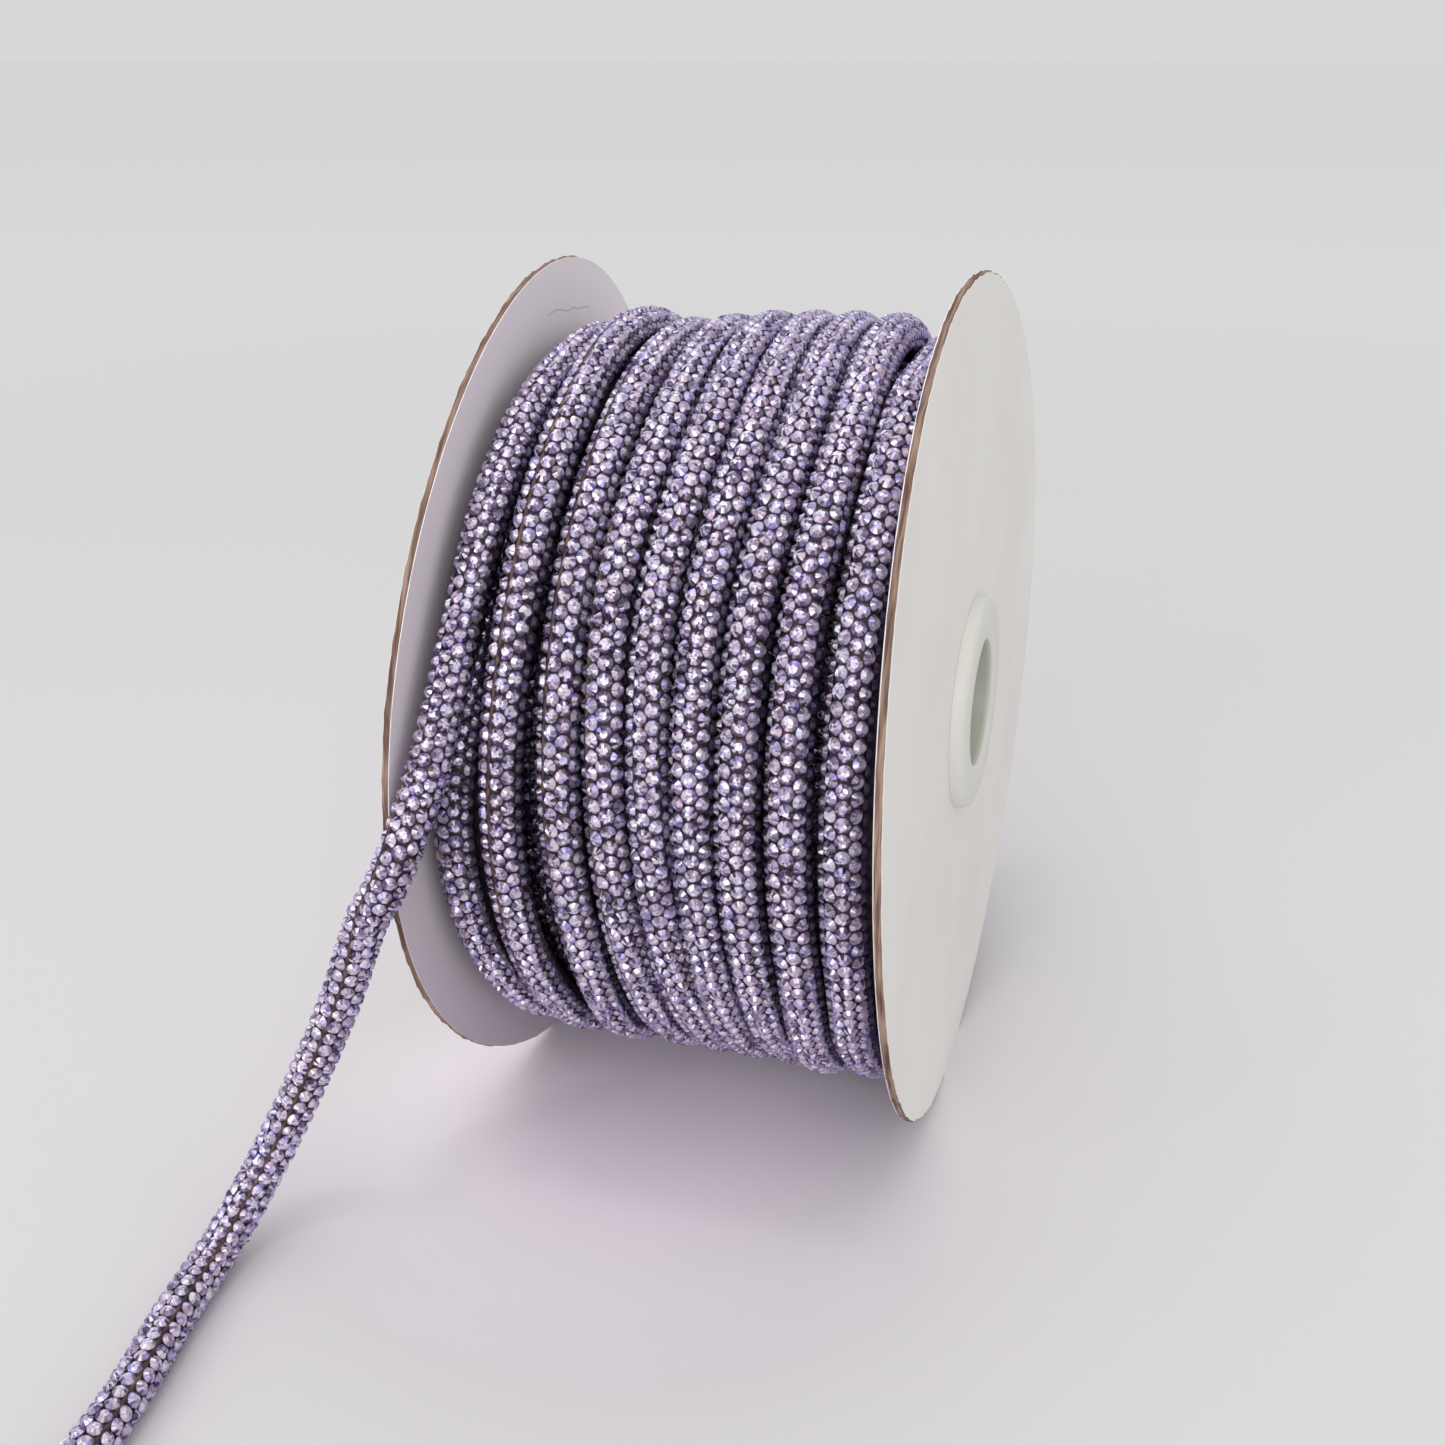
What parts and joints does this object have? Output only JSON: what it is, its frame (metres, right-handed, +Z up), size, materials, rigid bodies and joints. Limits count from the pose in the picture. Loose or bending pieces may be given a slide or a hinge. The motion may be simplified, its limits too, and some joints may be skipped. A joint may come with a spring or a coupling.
{
  "type": "rhinestone rope trim on spool",
  "caption": "Round rhinestone-covered rope trim wound in layers on a card spool with a plastic hub, its loose end drawn over one flange and along the surface.",
  "frame": {"origin": "middle of the standing spool's footprint on the surface, the loose end left out", "axes": "+X along the spool's axis to the hub face that shows in the picture, -Y the front that the loose end leaves from, +Z up"},
  "size_m": [0.0823, 0.1825, 0.1155],
  "materials": {
    "flange_card": "white paper facing on brown board",
    "core_card": "plain brown board",
    "hub_plastic": "satin white",
    "rhinestone_rope": "lilac faceted stones set close on a dark net tube"
  },
  "bodies": {
    "root": {"flange_left": "flange_card", "flange_right": "flange_card", "core_tube": "core_card", "hub_left": "hub_plastic", "hub_right": "hub_plastic", "rope_winding": "rhinestone_rope", "rope_end": "rhinestone_rope"}
  },
  "joints": []
}
